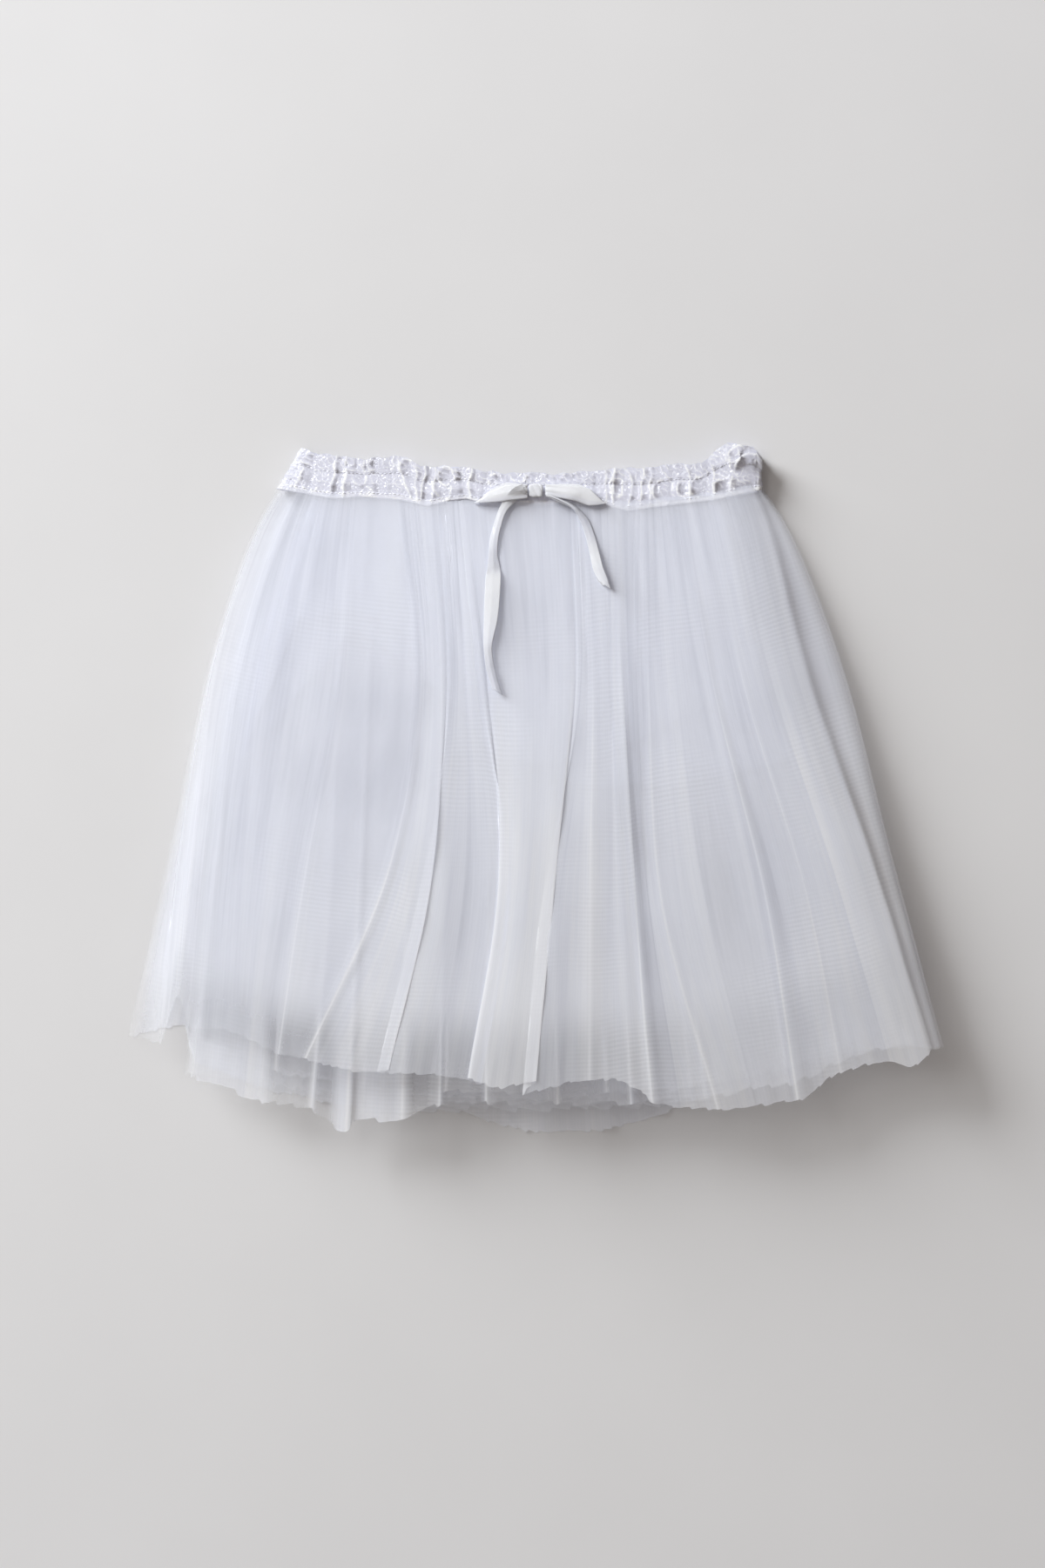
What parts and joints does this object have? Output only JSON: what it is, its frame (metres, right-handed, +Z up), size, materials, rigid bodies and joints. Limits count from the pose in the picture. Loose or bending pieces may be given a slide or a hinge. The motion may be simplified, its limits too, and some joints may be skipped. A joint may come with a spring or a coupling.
{
  "type": "soft tulle tutu skirt laid flat",
  "caption": "Soft thigh-length tulle tutu skirt laid flat: pleated net layers over a short lining, gathered satin waistband and ribbon bow.",
  "frame": {"origin": "on the surface the skirt lies on, under the middle of its bounding box", "axes": "+Z up out of the front of the skirt as it lies, +Y from the hem to the waist, +X to the right seen from above"},
  "size_m": [0.5036, 0.425, 0.0411],
  "materials": {
    "tulle": "soft white nylon net, see-through, raw cut hems",
    "lining": "matt bluish white woven lining",
    "satin": "gathered white satin",
    "ribbon": "glossy white satin ribbon"
  },
  "bodies": {
    "root": {"tulle_outer": "tulle", "tulle_middle": "tulle", "tulle_inner": "tulle", "lining": "lining", "waistband": "satin", "bow_loop_left": "ribbon", "bow_loop_right": "ribbon", "bow_knot": "ribbon", "bow_tail_left": "ribbon", "bow_tail_right": "ribbon"}
  },
  "joints": []
}
